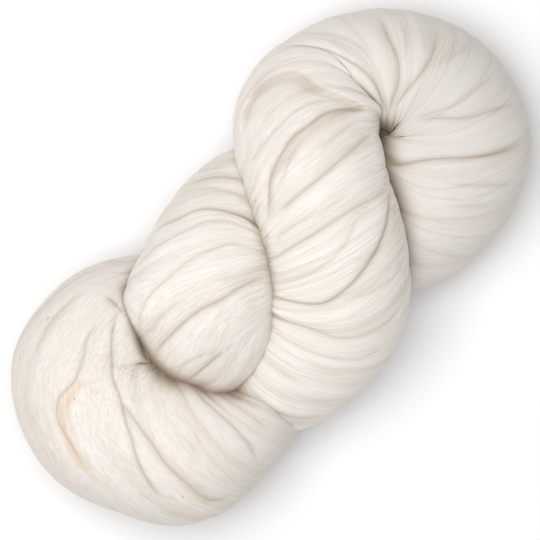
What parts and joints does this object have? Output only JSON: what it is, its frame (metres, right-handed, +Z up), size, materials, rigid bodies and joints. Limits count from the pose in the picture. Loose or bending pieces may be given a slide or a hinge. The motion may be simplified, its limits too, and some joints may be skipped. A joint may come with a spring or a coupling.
{
  "type": "twisted hank of combed wool roving",
  "caption": "Soft hank of undyed combed wool roving, twisted back on itself into fat crossing strands that end in a round fold and a wrapped collar.",
  "frame": {"origin": "middle of the hank's footprint, on the surface that it rests on", "axes": "+X along the hank toward its round fold, +Y across it toward the collar's pinched start, +Z up"},
  "size_m": [0.3062, 0.149, 0.099],
  "materials": {
    "wool_roving": "undyed cream combed wool, matt, with fine straight fibres along each ribbon, a faint sheen and slight fuzz"
  },
  "bodies": {
    "root": {"hank": "wool_roving"}
  },
  "joints": []
}
